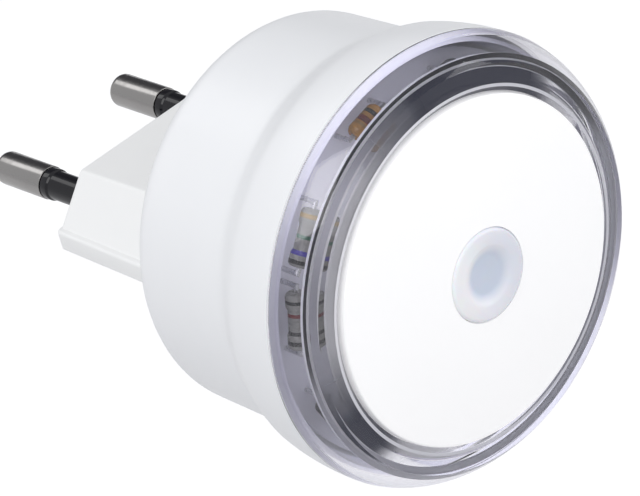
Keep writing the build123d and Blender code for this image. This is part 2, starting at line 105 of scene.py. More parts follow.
def reach(node):
    """A node's largest distance from the lamp's axis, along X."""
    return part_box(node)[1][0] / MM


def back(node):
    """A node's smallest depth."""
    return -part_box(node)[1][1] / MM


def front(node):
    """A node's largest depth."""
    return -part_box(node)[0][1] / MM


def middle(node):
    """The middle of a node's box, in metres."""
    low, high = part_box(node)
    return (Vector(low) + Vector(high)) / 2


# Shapes that the frame gives
rim_radius = reach("housing")
rim_depth = front("housing")
drum_back = back("housing")
ring_back = back("clear_bezel")
ring_front = front("clear_bezel")
disc_front = front("front_diffuser")
disc_back = back("front_diffuser")
lens_radius = reach("sensor_window")
lens_front = front("sensor_window")
lens_back = back("sensor_window")
pin_tip = -back("pin_left")
pin_end = front("pin_left")
pin_x = middle("pin_left").x / MM
base_front = front("plug_base")

# Housing, as in the solids
drum_radius_back = 22.65
drum_radius_front = 23.1
drum_edge = 2.5
collar_start = rim_depth - 11.0
collar_bend = rim_depth - 6.3
bend_radius = 25.15
bend_slope = 0.2
rim_land = 0.7
rim_bevel = 0.25
shell_wall = 1.8
seat_gap = 0.1
lining_height = 1.5

# Clear ring, as in the solids but for its thinner wall and its line
seat_overlap = 0.06
bulge_radius = 8.1
bulge_setback = 1.35
bulge_depth = rim_depth - bulge_setback
bulge_centre = rim_radius - sqrt(bulge_radius**2 - bulge_setback**2)
ring_wall = 1.3
brim_radius = rim_radius - 2.75
lip_radius = rim_radius - 5.85
lip_drop = 0.5
lip_back = ring_front - 1.3
lip_width = 1.5
crest_radius = lip_radius + 0.9
crest_width = 0.35
line_radius = rim_radius - 3.0
line_width = 0.75
line_border = 0.06
line_height = 0.35

# Diffuser and window, as in the solids but for the window's recess
disc_radius = lip_radius - 0.15
disc_dome = 1.65
disc_edge = disc_front - disc_dome
disc_border = 0.35
disc_wall = 1.2
flange_radius = lip_radius + 1.35
lens_gap = 0.12
lens_cap = 1.9
pipe_radius = 2.95
recess_sink = 0.5
recess_inside = pipe_radius - 0.7
recess_outside = pipe_radius + 0.5

# Plug, as in the solids
base_half_width = 17.5
base_half_height = 6.4
base_flat_width = 24
base_growth = 0.6
base_edge = 0.5
rib_half_height = 1.3
rib_reach = 0.8
pin_radius = 2.0
pin_shoulder = -(pin_tip - 8.4)
pin_neck_radius = 1.3
pin_collar_radius = 2.3
pin_collar_front, pin_collar_back = 9.2, 8.0
pin_tail_radius = 1.0
sleeve_bore = 1.35
sleeve_radius = 1.72
sleeve_end = 1.5
bead_radius = 1.9
bead_length = 1.1
bead_end = 1.35

# Resistor bodies, as (length, diameter), their bulbs, necks and waists
resistor_size = (6.3, 2.5)
bulb_length = 1.5
neck_length = 1.9
waist_sink = 0.16


# ---------------------------------------------------------------- mesh tools


def link(name, mesh, slot, *materials):
    """Put a mesh in the scene as a piece with its materials; its slot is not used."""
    piece = bpy.data.objects.new(name, mesh)
    bpy.context.scene.collection.objects.link(piece)
    for material in materials:
        mesh.materials.append(material)
    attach(piece, "root")
    return piece


def smooth(mesh):
    """Shade a mesh smooth, apart from its sharp edges."""
    mesh.polygons.foreach_set("use_smooth", [True] * len(mesh.polygons))
    mesh.set_sharp_from_angle(angle=SHARP_ANGLE)
    mesh.update()


def finished_mesh(bm, name):
    """Smooth mesh from a bmesh, its faces turned outwards."""
    bmesh.ops.recalc_face_normals(bm, faces=bm.faces)
    mesh = bpy.data.meshes.new(name)
    bm.to_mesh(mesh)
    bm.free()
    smooth(mesh)
    return mesh


def rounded(corners, close=True):
    """Points of an outline whose corners are rounded."""
    result = []
    count = len(corners)
    for i, (u, v, rounding) in enumerate(corners):
        here = Vector((u, v))
        inside = close or 0 < i < count - 1
        if not rounding or not inside:
            result.append((u, v))
            continue
        before = Vector(corners[i - 1][:2]) - here
        after = Vector(corners[(i + 1) % count][:2]) - here
        half = before.angle(after) / 2
        setback = min(
            rounding / max(sin(half), TINY) * cos(half),
            before.length * CORNER_SHARE, after.length * CORNER_SHARE,
        )
        radius = setback * sin(half) / max(cos(half), TINY)
        before.normalize()
        after.normalize()
        inward = (before + after).normalized()
        centre = here + inward * (radius / sin(half))
        start = here + before * setback - centre
        end = here + after * setback - centre
        turn = start.angle_signed(end)
        for k in range(CORNER_STEPS + 1):
            arm = Matrix.Rotation(-turn * k / CORNER_STEPS, 2) @ start
            result.append(tuple(centre + arm))
    return result


def arc(centre_u, centre_v, radius, from_angle, to_angle, steps):
    """Points along an arc, its angles in radians from +u towards +v."""
    points = []
    for k in range(steps + 1):
        angle = from_angle + (to_angle - from_angle) * k / steps
        points.append((centre_u + radius * cos(angle), centre_v + radius * sin(angle)))
    return points


def lathe(outline, steps=ROUND_STEPS, close=True):
    """Mesh of an outline of (radius, depth) turned about the Y axis."""
    bm = bmesh.new()
    rings = []
    for i in range(steps):
        angle = 2 * pi * i / steps
        rings.append([
            bm.verts.new((r * cos(angle) * MM, -d * MM, r * sin(angle) * MM)) for r, d in outline
        ])
    count = len(outline) if close else len(outline) - 1
    for i in range(steps):
        here, there = rings[i], rings[(i + 1) % steps]
        for k in range(count):
            n = (k + 1) % len(outline)
            bm.faces.new((here[k], here[n], there[n], there[k]))
    bmesh.ops.remove_doubles(bm, verts=bm.verts, dist=WELD_DISTANCE)
    return finished_mesh(bm, "turned")


def loft(sections):
    """Closed mesh through sections of (x, z) points, each with its depth."""
    bm = bmesh.new()
    rings = []
    for points, depth in sections:
        rings.append([bm.verts.new((x * MM, -depth * MM, z * MM)) for x, z in points])
    for here, there in zip(rings, rings[1:]):
        for k in range(len(here)):
            n = (k + 1) % len(here)
            bm.faces.new((here[k], here[n], there[n], there[k]))
    bm.faces.new(rings[0])
    bm.faces.new(rings[-1])
    return finished_mesh(bm, "lofted")


def face_place(face):
    """Radius and depth of a face's middle."""
    x, y, z = face.center
    return hypot(x, z) / MM, -y / MM


# ---------------------------------------------------------------- shader tools

NOISE_SPAN = (0.3, 0.7)  # where most of the noise lies
VECTOR_MATH = "ShaderNodeVectorMath"


def nodes_of(material):
    """A material's node tree and its shader."""
    tree = material.node_tree
    return tree, tree.nodes["Principled BSDF"]


def start_material(name):
    """New material with its node tree and its shader."""
    material = bpy.data.materials.new(name)
    material.use_nodes = True
    return material, *nodes_of(material)


def feed(tree, socket, value):
    """Give a socket the value of another socket, or a plain value."""
    if isinstance(value, bpy.types.NodeSocket):
        tree.links.new(value, socket)
    else:
        socket.default_value = value


def calculate(tree, operation, *values, node_type="ShaderNodeMath", output="Value"):
    """Result of a math node, whose values are sockets or numbers."""
    node = tree.nodes.new(node_type)
    node.operation = operation
    for socket, value in zip(node.inputs, values):
        feed(tree, socket, value)
    return node.outputs[output]


def remap(tree, value, source, target, smoothly=False):
    """Map a value from one range to another, straight or with a slow start and end."""
    node = tree.nodes.new("ShaderNodeMapRange")
    if smoothly:
        node.interpolation_type = "SMOOTHSTEP"
    for name, number in zip(("From Min", "From Max", "To Min", "To Max"), (*source, *target)):
        node.inputs[name].default_value = number
    tree.links.new(value, node.inputs["Value"])
    return node.outputs["Result"]


def blend_colours(tree, factor, low, high):
    """Blend by a factor from low, a colour or a socket, to the colour high."""
    mix = tree.nodes.new("ShaderNodeMix")
    mix.data_type = "RGBA"
    tree.links.new(factor, mix.inputs["Factor"])
    feed(tree, mix.inputs["A"], low if isinstance(low, bpy.types.NodeSocket) else (*low, 1))
    mix.inputs["B"].default_value = (*high, 1)
    return mix.outputs["Result"]


def own_place(tree):
    """A point's place in the piece's own space, in metres."""
    return tree.nodes.new("ShaderNodeTexCoord").outputs["Object"]


def own_parts(tree):
    """X, Y and Z of a point in the piece's own space."""
    parts = tree.nodes.new("ShaderNodeSeparateXYZ")
    tree.links.new(own_place(tree), parts.inputs[0])
    return parts.outputs


def noise(tree, scale, detail=3.0):
    """Noise in the piece's own space, whose scale is in features per metre."""
    texture = tree.nodes.new("ShaderNodeTexNoise")
    texture.inputs["Scale"].default_value = scale
    texture.inputs["Detail"].default_value = detail
    tree.links.new(own_place(tree), texture.inputs["Vector"])
    return texture.outputs["Fac"]


def add_bump(tree, shader, height, distance):
    """Relief of a height in metres on a shader."""
    bump = tree.nodes.new("ShaderNodeBump")
    bump.inputs["Distance"].default_value = distance
    tree.links.new(height, bump.inputs["Height"])
    tree.links.new(bump.outputs["Normal"], shader.inputs["Normal"])


def finish(name, low, high, rough, grain=600.0, blotch=90.0, bump=0.0, **sockets):
    """Procedural finish: blotchy colour, uneven gloss and a fine relief.

    low and high are the ends of the colour's drift, rough those of the
    roughness's. grain and blotch are in features per metre, and bump is the
    relief's height in metres.
    """
    material, tree, shader = start_material(name)
    colour = blend_colours(tree, noise(tree, blotch), low, high)
    tree.links.new(colour, shader.inputs["Base Color"])
    roughness = remap(tree, noise(tree, grain), NOISE_SPAN, rough)
    tree.links.new(roughness, shader.inputs["Roughness"])
    if bump:
        add_bump(tree, shader, noise(tree, grain * 2.0, detail=2.0), bump)
    for socket, value in sockets.items():
        shader.inputs[socket.replace("_", " ")].default_value = value
    return material


def tint(material, share, colour):
    """Tint a finish by a share that its own nodes make."""
    tree, shader = nodes_of(material)
    base = shader.inputs["Base Color"]
    tree.links.new(blend_colours(tree, share, base.links[0].from_socket, colour), base)


def add_glow(material, share, strength, colour):
    """Let a finish glow by a share that its own nodes make."""
    tree, shader = nodes_of(material)
    power = calculate(tree, "MULTIPLY", share, strength)
    tree.links.new(power, shader.inputs["Emission Strength"])
    shader.inputs["Emission Color"].default_value = (*colour, 1)


# ---------------------------------------------------------------- tints
# Light and shade from surroundings that the plain studio lacks, painted by the
# place on the object. Stops are (turn from +X towards +Z, share of the tint).

RIM_LIGHT = (
    (0, 0), (0.14, 0), (0.21, 1), (0.34, 0.85), (0.42, 0.1), (0.58, 0.1), (0.66, 0.8),
    (0.74, 0.9), (0.87, 0.85), (0.92, 0.1), (1, 0),
)
UPPER_LIGHT = (
    (0, 0.1), (0.24, 0.1), (0.3, 0.2), (0.35, 0.6), (0.4, 0.7), (0.44, 0.1), (0.58, 0.1),
    (0.66, 0.8), (0.75, 0.9), (1, 0.1),
)
LENS_LIGHT = ((0, 0), (0.2, 0.2), (0.38, 0.9), (0.55, 0.9), (0.75, 0.3), (1, 0))
LIP_SHADE = (
    (0, 0), (0.1, 0), (0.115, 1), (0.14, 1), (0.25, 1), (0.27, 1), (0.33, 0), (0.36, 0),
    (0.46, 0), (0.49, 0), (0.54, 1), (0.56, 1), (0.585, 1), (0.6, 1), (0.615, 0), (0.64, 0),
    (1, 0),
)
LINE_FADE = (
    (0, 1), (0.02, 1), (0.05, 0), (0.1, 0), (0.46, 0), (0.49, 0), (0.515, 1), (0.56, 1),
    (1, 1),
)
EDGE_SHADE = ((0, 0.7), (0.2, 0.7), (0.28, 0), (0.44, 0), (0.55, 0.9), (1, 0.7))
LIGHT_TINT = (0.95, 0.95, 0.97)
LIGHT_GLOW = (0.82, 0.82, 1)
NAVY_TINT = (0.0015, 0.0015, 0.003)
NAVY_GLOW = (0.45, 0.5, 1)
# Grey that the painted highlight and the painted shade line fade to
FADED_SHADE_GREY = (0.42, 0.42, 0.47)
RECESS_TINT = (0.62, 0.67, 0.78)


def share_round(tree, stops):
    """Share of a tint by the angle round the lamp's axis."""
    parts = own_parts(tree)
    angle = calculate(tree, "ARCTAN2", parts["Z"], parts["X"])
    turn = calculate(tree, "FRACT", calculate(tree, "DIVIDE", angle, 2 * pi))
    ramp = tree.nodes.new("ShaderNodeValToRGB")
    ramp.color_ramp.interpolation = "B_SPLINE"
    for k, (where, level) in enumerate(stops):
        elements = ramp.color_ramp.elements
        stop = elements[k] if k < 2 else elements.new(where)
        stop.position = where
        stop.color = (level, level, level, 1)
    tree.links.new(turn, ramp.inputs["Fac"])
    return ramp.outputs["Color"]


def tint_round(material, stops, colour):
    """Tint a finish round the lamp's axis, and return the share of the tint."""
    share = share_round(material.node_tree, stops)
    tint(material, share, colour)
    return share


def paint_light_round(material, stops, glow):
    """Paint light on a finish round the lamp's axis, with a glow there."""
    share = tint_round(material, stops, LIGHT_TINT)
    add_glow(material, share, glow, LIGHT_GLOW)


def paint_shade_clear(material, stops, glow):
    """Paint shade on a clear finish round the lamp's axis: dark navy, opaque, with a faint glow."""
    share = tint_round(material, stops, NAVY_TINT)
    tree, shader = nodes_of(material)
    clear = calculate(tree, "SUBTRACT", 1, share)
    tree.links.new(clear, shader.inputs["Transmission Weight"])
    add_glow(material, share, glow, NAVY_GLOW)


def tint_middle(material, colour, inner, outer):
    """Tint a finish near the lamp's axis, fading out between two radii."""
    tree = material.node_tree
    flat = calculate(
        tree, "MULTIPLY", own_place(tree), (1, 0, 1), node_type=VECTOR_MATH, output="Vector",
    )
    away = calculate(tree, "LENGTH", flat, node_type=VECTOR_MATH)
    tint(material, remap(tree, away, (inner * MM, outer * MM), (1, 0), smoothly=True), colour)


# ---------------------------------------------------------------- materials

white_shell = finish(
    "white_shell", (0.85, 0.86, 0.88), (0.88, 0.89, 0.905), (0.34, 0.42), grain=500, bump=4e-6,
    Coat_Weight=0.12, Coat_Roughness=0.16, IOR=1.45,
)
# Rim flat under the ring's foot: painted shade in lavender grey, with painted light and a glow over
# parts of the round
rim_shade = finish(
    "rim_shade", (0.42, 0.415, 0.51), (0.48, 0.47, 0.57), (0.3, 0.4), grain=500, bump=3e-6,
)
paint_light_round(rim_shade, RIM_LIGHT, glow=0.7)
# Lining behind the ring: painted shade in lavender grey, with painted light and a glow over parts
# of the round
lining_shade_and_light = finish(
    "lining_shade_and_light", (0.55, 0.55, 0.63), (0.62, 0.62, 0.7), (0.3, 0.4), grain=500, bump=3e-6,
)
paint_light_round(lining_shade_and_light, UPPER_LIGHT, glow=0.35)
# Crest and the line's borders: painted highlight with a faint glow, faded to painted shade over
# much of the round
edge_highlight_and_shade = finish(
    "edge_highlight_and_shade", (0.72, 0.72, 0.76), (0.82, 0.82, 0.86), (0.1, 0.2), grain=800, bump=2e-6,
    Emission_Color=(0.96, 0.96, 1, 1), Emission_Strength=0.05,
)
tint_round(edge_highlight_and_shade, EDGE_SHADE, FADED_SHADE_GREY)
# Line on the ring's inside: painted shade as a near black strip, faded to grey over part of the
# round
shadow_line = finish(
    "shadow_line", (0.012, 0.012, 0.018), (0.03, 0.03, 0.04), (0.1, 0.2), grain=800, bump=2e-6,
)
tint_round(shadow_line, LINE_FADE, FADED_SHADE_GREY)
base_white = finish(
    "base_white", (0.88, 0.885, 0.885), (0.905, 0.91, 0.905), (0.3, 0.4), grain=700, bump=6e-6,
    IOR=1.5,
)
disc_white = finish(
    "disc_white", (0.9, 0.898, 0.9), (0.93, 0.928, 0.93), (0.34, 0.42), grain=400, bump=3e-6,
    IOR=1.4, Emission_Color=(1, 0.995, 1, 1), Emission_Strength=0.17,
)
lens_frost = finish(
    "lens_frost", (0.74, 0.76, 0.84), (0.77, 0.79, 0.87), (0.3, 0.36), grain=900, bump=1e-6,
    IOR=1.49, Subsurface_Weight=0.3, Subsurface_Scale=0.002,
)
# Painted light with a faint glow on part of the window's round
paint_light_round(lens_frost, LENS_LIGHT, glow=0.02)
tint_middle(lens_frost, RECESS_TINT, inner=2.0, outer=3.3)
clear_acrylic = finish(
    "clear_acrylic", (0.935, 0.93, 0.985), (0.955, 0.95, 0.995), (0.004, 0.02), grain=300,
    blotch=60, IOR=1.49, Transmission_Weight=1.0,
)
# Clear plastic under the lip: a grey tint as painted shade, and opaque dark navy with a faint glow
# in two sectors as painted shade
painted_shade_acrylic = finish(
    "painted_shade_acrylic", (0.4, 0.4, 0.42), (0.48, 0.48, 0.51), (0.005, 0.015), grain=300,
    blotch=160, IOR=1.49, Transmission_Weight=1.0, Specular_IOR_Level=0.1,
)
paint_shade_clear(painted_shade_acrylic, LIP_SHADE, glow=0.03)
pin_metal = finish(
    "pin_metal", (0.31, 0.3, 0.295), (0.38, 0.37, 0.36), (0.16, 0.27), grain=1500, bump=2e-6,
    Metallic=1.0,
)
pin_rubber = finish(
    "pin_rubber", (0.004, 0.004, 0.006), (0.009, 0.009, 0.012), (0.06, 0.12), grain=1200,
    bump=3e-6, IOR=1.42,
)
board_mask = finish(
    "board_mask", (0.6, 0.6, 0.68), (0.68, 0.68, 0.76), (0.3, 0.45), grain=900, bump=4e-6,
)
# Painted light with a glow on the board over parts of the round
paint_light_round(board_mask, UPPER_LIGHT, glow=0.25)
led_resin = finish(
    "led_resin", (0.88, 0.84, 0.6), (0.93, 0.91, 0.76), (0.1, 0.2), grain=800, IOR=1.5,
)
cell_ceramic = finish(
    "cell_ceramic", (0.6, 0.38, 0.2), (0.76, 0.54, 0.32), (0.4, 0.6), grain=1400, blotch=900,
    bump=1e-5,
)
resistor_beige = finish(
    "resistor_beige", (0.5, 0.46, 0.38), (0.6, 0.56, 0.47), (0.25, 0.4), grain=1600,
    blotch=500, bump=1e-5,
)
glass_amber = finish(
    "glass_amber", (0.8, 0.34, 0.06), (0.92, 0.5, 0.14), (0.03, 0.1), grain=900, blotch=400,
    IOR=1.5, Transmission_Weight=0.6,
)
moulded_black = finish(
    "moulded_black", (0.012, 0.012, 0.018), (0.03, 0.03, 0.04), (0.3, 0.5), grain=1800,
    bump=1e-5,
)
can_blue = finish(
    "can_blue", (0.008, 0.01, 0.03), (0.016, 0.02, 0.055), (0.12, 0.22), grain=1000, bump=5e-6,
)
film_yellow = finish(
    "film_yellow", (0.62, 0.42, 0.06), (0.72, 0.52, 0.1), (0.25, 0.4), grain=1200, bump=6e-6,
)
dip_orange = finish(
    "dip_orange", (0.52, 0.2, 0.06), (0.68, 0.32, 0.12), (0.15, 0.3), grain=900, blotch=700,
    bump=1e-5,
)
tinned = finish(
    "tinned", (0.62, 0.62, 0.63), (0.74, 0.74, 0.75), (0.2, 0.4), grain=2600, bump=6e-6,
    Metallic=1.0,
)
zinc = finish(
    "zinc", (0.5, 0.5, 0.52), (0.62, 0.62, 0.63), (0.28, 0.45), grain=2200, bump=6e-6,
    Metallic=1.0,
)
wire_brown = finish(
    "wire_brown", (0.16, 0.06, 0.03), (0.22, 0.09, 0.045), (0.3, 0.42), grain=1500, bump=4e-6,
)
wire_blue = finish(
    "wire_blue", (0.03, 0.1, 0.34), (0.05, 0.14, 0.42), (0.3, 0.42), grain=1500, bump=4e-6,
)

node_materials = {
    "housing": white_shell, "plug_base": base_white, "clear_bezel": clear_acrylic,
    "front_diffuser": disc_white, "sensor_window": lens_frost, "sensor_tube": board_mask,
    "photocell": cell_ceramic, "circuit_board": board_mask, "leds": led_resin,
    "zener_diode": glass_amber, "rectifier_diodes": moulded_black,
    "transistor": moulded_black, "electrolytic_capacitor": can_blue,
    "film_capacitor": film_yellow, "ceramic_capacitor": dip_orange, "fuse": resistor_beige,
    "series_resistor": resistor_beige, "timing_resistor": resistor_beige,
    "bias_resistor": resistor_beige, "component_leads": tinned, "solder_joints": tinned,
    "base_screws": zinc, "board_screws": zinc, "pin_left": pin_metal,
    "pin_right": pin_metal, "pin_sleeve_left": pin_rubber, "pin_sleeve_right": pin_rubber,
    "mains_wire_left": wire_blue, "mains_wire_right": wire_brown,
}
for node, material in node_materials.items():
    for material_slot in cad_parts[node].material_slots:
        material_slot.material = material


# ---------------------------------------------------------------- housing

# Places in the shell's materials, and the slack with which its faces are picked
RIM_FACES, LINING_FACES = 1, 2
FLAT_SLACK = 0.001
LINING_SLACK = 0.05


def bend(share, span, low, low_slope, high, high_slope):
    """Cubic curve from low to high over a span, with a slope at each end."""
    square, cube = share**2, share**3
    ends = (2 * cube - 3 * square + 1) * low + (3 * square - 2 * cube) * high
    return ends + span * ((cube - 2 * square + share) * low_slope + (cube - square) * high_slope)


def flare(depth, inset):
    """Radius of the drum's outside at a depth, less an inset."""
    draft = (drum_radius_front - drum_radius_back) / (collar_start - drum_back)
    flare_end = rim_depth - rim_land
    if depth <= collar_start:
        radius = drum_radius_back + draft * (depth - drum_back)
    elif depth <= collar_bend:
        span = collar_bend - collar_start
        share = (depth - collar_start) / span
        radius = bend(share, span, drum_radius_front, draft, bend_radius, bend_slope)
    elif depth <= flare_end:
        span = flare_end - collar_bend
        share = (depth - collar_bend) / span
        radius = bend(share, span, bend_radius, bend_slope, rim_radius, 0)
    else:
        radius = rim_radius
    return radius - inset


def drum_side(inset, start, end, steps):
    """Points along the drum's outside from one depth to another, less an inset."""
    depths = [start + (end - start) * k / steps for k in range(steps + 1)]
    return [(flare(depth, inset), depth) for depth in depths]


def drum_shell():
    """Drum and collar with a closed rear wall and a seat for the ring's spigot.

    The rim's flat and the lining behind the ring are faces of their own, which carry painted shade
    and painted light.
    """
    edge_depth = drum_back + drum_edge
    edge_centre = flare(edge_depth, 0) - drum_edge
    edge = arc(edge_centre, edge_depth, drum_edge, -pi / 2, 0, DRUM_EDGE_STEPS)
    side = drum_side(0, edge_depth, rim_depth - rim_bevel, DRUM_SIDE_STEPS)[1:]
    seat_radius = rim_radius - shell_wall
    seat_back = ring_back - seat_gap
    rim = [
        (rim_radius - rim_bevel, rim_depth), (seat_radius, rim_depth), (seat_radius, seat_back),
    ]
    inner_end = drum_back + shell_wall
    inside = drum_side(shell_wall, seat_back, inner_end, DRUM_INSIDE_STEPS)
    mesh = lathe([(0, drum_back)] + edge + side + rim + inside + [(0, inner_end)], close=False)
    for face in mesh.polygons:
        radius, depth = face_place(face)
        if abs(depth - rim_depth) < FLAT_SLACK:
            face.material_index = RIM_FACES
        elif depth > ring_back - lining_height and radius < seat_radius + LINING_SLACK:
            face.material_index = LINING_FACES
    return mesh


# ---------------------------------------------------------------- front

# Places in the ring's materials, and the slack with which its faces are picked
# The line, lip and highlight faces carry painted shade and painted highlights.
LINE_FACES, LIP_FACES, HIGHLIGHT_FACES = 1, 2, 3
CREST_SLACK = 0.02
LIP_SLACK = 0.05
LIP_MARGIN = 0.1
LINE_SLACK = 0.01


def clear_ring():
    """Ring with a thin bulging wall, a line under it, a crest and a lip.

    Its foot sinks into the rim, and it has no spigot. The line is a ridge on the
    wall's inside whose face carries painted shade between painted highlights on its
    borders. The crest's faces carry a painted highlight, and those from the lip's back
    to the line carry painted shade.
    """
    brim = bulge_depth + sqrt(bulge_radius**2 - (brim_radius - bulge_centre) ** 2)
    brim_angle = atan2(brim - bulge_depth, brim_radius - bulge_centre)
    foot = rim_depth - seat_overlap
    seam_angle = asin((rim_depth - bulge_depth) / bulge_radius)
    bulge = arc(bulge_centre, bulge_depth, bulge_radius, seam_angle, brim_angle, BULGE_STEPS)
    inner_radius = bulge_radius - ring_wall
    inner_foot = asin((foot - bulge_depth) / inner_radius)
    line_inside = line_radius - line_width / 2 - line_border
    line_outside = line_radius + line_width / 2 + line_border
    inner_end = acos((line_outside - bulge_centre) / inner_radius)
    bore = arc(bulge_centre, bulge_depth, inner_radius, inner_end, inner_foot, BORE_STEPS)
    line_top = bore[0][1]
    line_foot = line_top - line_height
    end = rounded([
        (*bulge[-1], 0),
        (crest_radius, ring_front, 0.12),
        (crest_radius - crest_width, ring_front, 0.08),
        (lip_radius, ring_front - lip_drop, 0.1),
        (lip_radius, lip_back, 0),
        (lip_radius + lip_width, lip_back, 0.3),
        (line_inside, line_top, 0),
        (line_inside, line_foot, 0),
        (line_inside + line_border, line_foot, 0),
        (line_outside - line_border, line_foot, 0),
        (line_outside, line_foot, 0),
        (*bore[0], 0),
    ], close=False)
    mesh = lathe([(bulge[0][0], foot)] + bulge + end[1:-1] + bore)
    for face in mesh.polygons:
        radius, depth = face_place(face)
        across_crest = -CREST_SLACK < crest_radius - radius < crest_width + CREST_SLACK
        under_lip = lip_radius + LIP_MARGIN < radius < line_outside + LINE_SLACK
        if across_crest and depth > ring_front - LIP_SLACK:
            face.material_index = HIGHLIGHT_FACES
        elif under_lip and depth < lip_back + LIP_SLACK:
            if radius <= line_inside - LINE_SLACK:
                face.material_index = LIP_FACES
            elif abs(radius - line_radius) > line_width / 2:
                face.material_index = HIGHLIGHT_FACES
            else:
                face.material_index = LINE_FACES
    return mesh


def dome_depth(radius):
    """Depth of the diffuser's spherical dome at a radius."""
    ball = (disc_radius**2 + disc_dome**2) / (2 * disc_dome)
    return disc_edge + disc_dome - ball + sqrt(ball**2 - radius**2)


def front_disc():
    """Domed diffuser with a rounded edge, a skirt, a flange and a hole."""
    hole = lens_radius + lens_gap
    top = []
    for k in range(DOME_STEPS + 1):
        radius = hole + (disc_radius - disc_border - hole) * k / DOME_STEPS
        top.append((radius, dome_depth(radius)))
    seat = lip_back - seat_overlap
    inner_radius = disc_radius - disc_wall
    skirt = rounded([
        (*top[-1], 0),
        (disc_radius, disc_edge, 0.3),
        (disc_radius, seat, 0),
        (flange_radius, seat, 0.1),
        (flange_radius, disc_back, 0.1),
        (inner_radius, disc_back, 0),
        (inner_radius, disc_edge - disc_wall, 0.3),
        (hole, disc_front - disc_wall, 0),
    ], close=False)
    return lathe(top[:-1] + skirt)


def sensor_lens():
    """Frosted cap with a soft round recess, above its light pipe."""
    recess_depth = lens_front - recess_sink
    cap_back = lens_front - lens_cap
    outline = rounded([
        (0, recess_depth, 0),
        (recess_inside, recess_depth, 1.2),
        (recess_outside, lens_front, 1.2),
        (lens_radius, lens_front, 0.45),
        (lens_radius, cap_back, 0),
        (pipe_radius, cap_back, 0),
        (pipe_radius, lens_back, 0.2),
        (0, lens_back, 0),
    ], close=False)
    return lathe(outline, steps=FINE_STEPS, close=False)


# ---------------------------------------------------------------- plug


def base_outline(grow):
    """The base's hexagon with a rib at each end, as (x, z) points."""
    half_width, half_height = base_half_width + grow, base_half_height + grow
    corner = (base_flat_width + grow) / 2
    shoulder = half_width - rib_reach
    right = [
        (corner, half_height, 0.8),
        (shoulder, rib_half_height, 0.2),
        (half_width, rib_half_height, 0.45),
        (half_width, -rib_half_height, 0.45),
        (shoulder, -rib_half_height, 0.2),
        (corner, -half_height, 0.8),
    ]
    left = [(-x, z, rounding) for x, z, rounding in reversed(right)]
    return rounded(right + left)


def plug_block():
    """The drafted base, its end face's edge rounded, down to inside the drum."""
    sections = []
    for k in range(BASE_EDGE_STEPS + 1):
        angle = pi / 2 * k / BASE_EDGE_STEPS
        outline = base_outline(-base_edge + base_edge * sin(angle))
        sections.append((outline, base_edge - base_edge * cos(angle)))
    sections.append((base_outline(base_growth), drum_back))
    sections.append((base_outline(base_growth * base_front / drum_back), base_front))
    return loft(sections)


def pin_mesh():
    """Nickel end, shoulder, hidden neck, anchor collar and solder tail."""
    outline = rounded([
        (0, -pin_tip, 0),
        (pin_radius, -pin_tip, 0.9),
        (pin_radius, pin_shoulder, 0.06),
        (pin_neck_radius, pin_shoulder, 0),
        (pin_neck_radius, pin_collar_back, 0),
        (pin_collar_radius, pin_collar_back, 0.1),
        (pin_collar_radius, pin_collar_front, 0.1),
        (pin_tail_radius, pin_collar_front, 0),
        (pin_tail_radius, pin_end, 0.2),
        (0, pin_end, 0),
    ], close=False)
    return lathe(outline, steps=FINE_STEPS, close=False)


def sleeve_mesh():
    """Insulating sleeve with a thicker bead at the metal end."""
    outline = rounded([
        (sleeve_bore, pin_shoulder, 0),
        (bead_radius, pin_shoulder, 0.2),
        (bead_radius, pin_shoulder + bead_length, 0.3),
        (sleeve_radius, pin_shoulder + bead_end, 0.2),
        (sleeve_radius, sleeve_end, 0),
        (sleeve_bore, sleeve_end, 0),
    ])
    return lathe(outline, steps=FINE_STEPS)


# ---------------------------------------------------------------- electronics


def banded(name, low, high, rough, bands, **sockets):
    """Finish with painted rings round a body.

    Each is (place, width, colour), in millimetres along the body from its middle.
    """
    material = finish(name, low, high, rough, grain=1600, blotch=500, bump=1e-5, **sockets)
    tree = material.node_tree
    along = own_parts(tree)["Y"]
    for where, width, paint in bands:
        inside = calculate(tree, "COMPARE", along, -where * MM, width / 2 * MM)
        tint(material, inside, paint)
    return material


def lying(centre, along):
    """Placement at a point that lays a lathed body's depth along a direction."""
    ahead = Vector((0, -1, 0))
    y_axis = -Vector(along).normalized()
    z_axis = (ahead - y_axis * ahead.dot(y_axis)).normalized()
    axes = Matrix((y_axis.cross(z_axis), y_axis, z_axis)).transposed()
    return Matrix.Translation(centre) @ axes.to_4x4()


def round_the_axis(point):
    """Direction of growing angle about the lamp's axis at a point."""
    return Vector((-point.z, 0, point.x)).normalized()


def body_of(name, node, corners, material, slot):
    """Turned body in the place of a node, its length square to the lamp's radius."""
    mesh = lathe(rounded(corners, close=False), steps=SMALL_STEPS, close=False)
    piece = link(name, mesh, slot, material)
    centre = middle(node)
    piece.matrix_world = lying(centre, round_the_axis(centre))
    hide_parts(node)


def dog_bone(length, diameter):
    """Corners of a dipped resistor: round ends and a slim waist."""
    half, end = length / 2, diameter / 2
    waist = end - waist_sink
    return [
        (0, -half, 0),
        (end, -half, 0.45),
        (end, -half + bulb_length, 0.5),
        (waist, -half + neck_length, 0.5),
        (waist, half - neck_length, 0.5),
        (end, half - bulb_length, 0.5),
        (end, half, 0.45),
        (0, half, 0),
    ]


